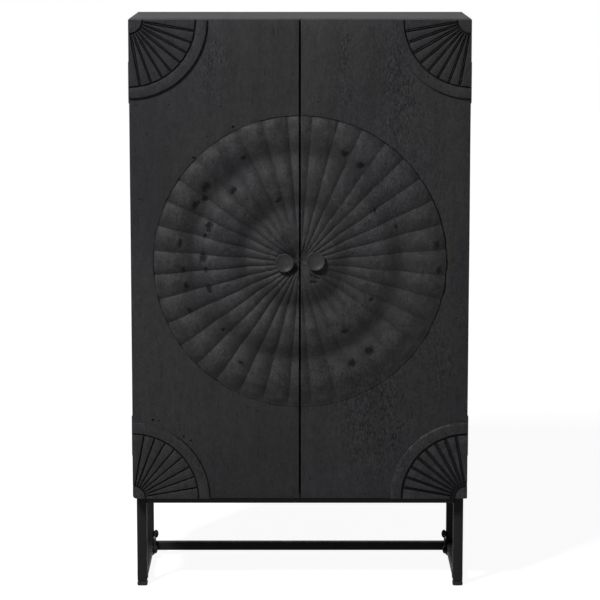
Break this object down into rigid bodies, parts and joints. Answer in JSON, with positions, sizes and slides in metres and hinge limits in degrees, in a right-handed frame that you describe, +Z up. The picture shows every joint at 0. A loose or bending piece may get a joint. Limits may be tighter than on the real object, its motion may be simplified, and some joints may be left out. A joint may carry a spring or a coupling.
{
  "type": "tall two-door cabinet",
  "caption": "Tall black wooden cabinet on a steel frame, with hinged doors that carry a carved sunburst and corner fans, and shelves inside.",
  "frame": {"origin": "centre of the bounding box's footprint, at floor level", "axes": "+Z up, +X to the right as seen from the front, doors face -Y"},
  "size_m": [0.855, 0.422, 1.45],
  "materials": {
    "black_wood": "matt black stained and lacquered solid wood, open grain",
    "carved_wood": "hand-carved solid wood, matt black, with tool marks",
    "inside_board": "matt black stained board",
    "knob_black": "satin black, dished face",
    "hinge_black": "blackened steel",
    "plated_steel": "zinc-plated",
    "frame_black": "black powder coat",
    "black_plastic": "moulded black plastic"
  },
  "bodies": {
    "cabinet": {"top_panel": "black_wood", "bottom_panel": "black_wood", "side_panel_left": "black_wood", "side_panel_right": "black_wood", "back_panel": "inside_board", "shelf_lower": "inside_board", "shelf_middle": "inside_board", "shelf_upper": "inside_board", "hinge_frame_leaf_lower_left": "hinge_black", "hinge_frame_leaf_lower_right": "hinge_black", "hinge_frame_leaf_upper_left": "hinge_black", "hinge_frame_leaf_upper_right": "hinge_black", "hinge_pin_lower_left": "hinge_black", "hinge_pin_lower_right": "hinge_black", "hinge_pin_upper_left": "hinge_black", "hinge_pin_upper_right": "hinge_black", "leg_front_left": "frame_black", "leg_front_right": "frame_black", "leg_rear_left": "frame_black", "leg_rear_right": "frame_black", "floor_rail_left": "frame_black", "floor_rail_right": "frame_black", "top_rail_left": "frame_black", "top_rail_right": "frame_black", "front_rail": "frame_black", "rear_rail": "frame_black", "rear_stretcher": "frame_black", "gusset_left": "frame_black", "gusset_right": "frame_black", "gusset_bolt_leg_left": "frame_black", "gusset_bolt_leg_right": "frame_black", "gusset_bolt_rail_left": "frame_black", "gusset_bolt_rail_right": "frame_black", "magnetic_catch": "black_plastic", "foot_front_left": "black_plastic", "foot_front_right": "black_plastic", "foot_rear_left": "black_plastic", "foot_rear_right": "black_plastic"},
    "door_left": {"door_panel_left": "black_wood", "medallion_left": "carved_wood", "corner_fan_upper_left": "carved_wood", "corner_fan_lower_left": "carved_wood", "knob_left": "knob_black", "hinge_door_leaf_lower_left": "hinge_black", "hinge_door_leaf_upper_left": "hinge_black", "knob_screw_left": "plated_steel", "strike_plate_left": "plated_steel"},
    "door_right": {"door_panel_right": "black_wood", "medallion_right": "carved_wood", "corner_fan_upper_right": "carved_wood", "corner_fan_lower_right": "carved_wood", "knob_right": "knob_black", "hinge_door_leaf_lower_right": "hinge_black", "hinge_door_leaf_upper_right": "hinge_black", "knob_screw_right": "plated_steel", "strike_plate_right": "plated_steel"}
  },
  "joints": [
    {"name": "door_left_hinge", "type": "hinge", "parent": "cabinet", "child": "door_left", "pos_m": [-0.425, -0.166, 0.8435], "axis": [0, 0, -1], "range_deg": [0, 170]},
    {"name": "door_right_hinge", "type": "hinge", "parent": "cabinet", "child": "door_right", "pos_m": [0.425, -0.166, 0.8435], "axis": [0, 0, 1], "range_deg": [0, 170]}
  ]
}
